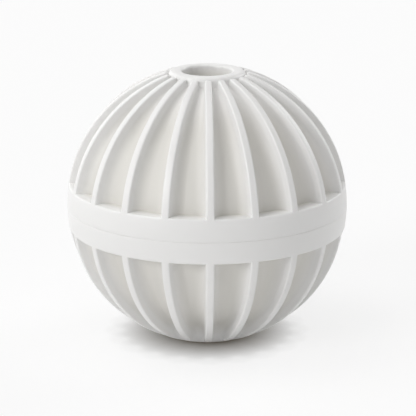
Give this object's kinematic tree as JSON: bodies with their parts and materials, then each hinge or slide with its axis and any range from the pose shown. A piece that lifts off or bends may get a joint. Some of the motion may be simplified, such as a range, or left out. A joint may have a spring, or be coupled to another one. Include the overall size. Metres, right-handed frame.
{
  "type": "laundry ball",
  "caption": "Ribbed white washing ball whose halves twist apart at the equator, with a strained port at each pole and loose ceramic beads inside.",
  "frame": {"origin": "centre of the ball, on its axis and on the parting plane between the halves", "axes": "+Z along the axis through both ports, towards the upper half; -Y is the pictured front, where a rib lies"},
  "size_m": [0.0898, 0.0898, 0.0866],
  "materials": {
    "shell_white": "satin moulded polypropylene",
    "strainer_white": "satin moulded polypropylene",
    "seal_grey": "matte silicone",
    "bead_cream": "fired, unglazed",
    "bead_clay": "fired, unglazed",
    "bead_grey": "fired, unglazed"
  },
  "bodies": {
    "lower_half": {"lower_shell": "shell_white", "lower_strainer": "strainer_white", "ceramic_bead_01": "bead_cream", "ceramic_bead_02": "bead_clay", "ceramic_bead_03": "bead_grey", "ceramic_bead_04": "bead_cream", "ceramic_bead_05": "bead_clay", "ceramic_bead_06": "bead_grey", "ceramic_bead_07": "bead_cream", "ceramic_bead_08": "bead_clay", "ceramic_bead_09": "bead_grey", "ceramic_bead_10": "bead_cream", "ceramic_bead_11": "bead_clay", "ceramic_bead_12": "bead_grey", "ceramic_bead_13": "bead_cream", "ceramic_bead_14": "bead_clay", "ceramic_bead_15": "bead_grey", "ceramic_bead_16": "bead_cream", "ceramic_bead_17": "bead_clay", "ceramic_bead_18": "bead_grey", "ceramic_bead_19": "bead_cream", "ceramic_bead_20": "bead_clay", "ceramic_bead_21": "bead_grey", "ceramic_bead_22": "bead_cream", "ceramic_bead_23": "bead_clay", "ceramic_bead_24": "bead_grey", "ceramic_bead_25": "bead_cream", "ceramic_bead_26": "bead_clay", "ceramic_bead_27": "bead_grey", "ceramic_bead_28": "bead_cream", "ceramic_bead_29": "bead_clay", "ceramic_bead_30": "bead_grey"},
    "seal": {"joint_seal": "seal_grey"},
    "upper_half": {"upper_shell": "shell_white", "upper_strainer": "strainer_white"}
  },
  "joints": [
    {"name": "twist", "type": "hinge", "parent": "lower_half", "child": "seal", "pos_m": [0, 0, 0], "axis": [0, 0, 1], "range_deg": [0, 360]},
    {"name": "rise", "type": "slide", "parent": "seal", "child": "upper_half", "axis": [0, 0, 1], "range_m": [0, 0.036]}
  ],
  "couplings": [
    {"joint": "rise", "follows": "twist", "m_per_rad": 0.0057296}
  ]
}
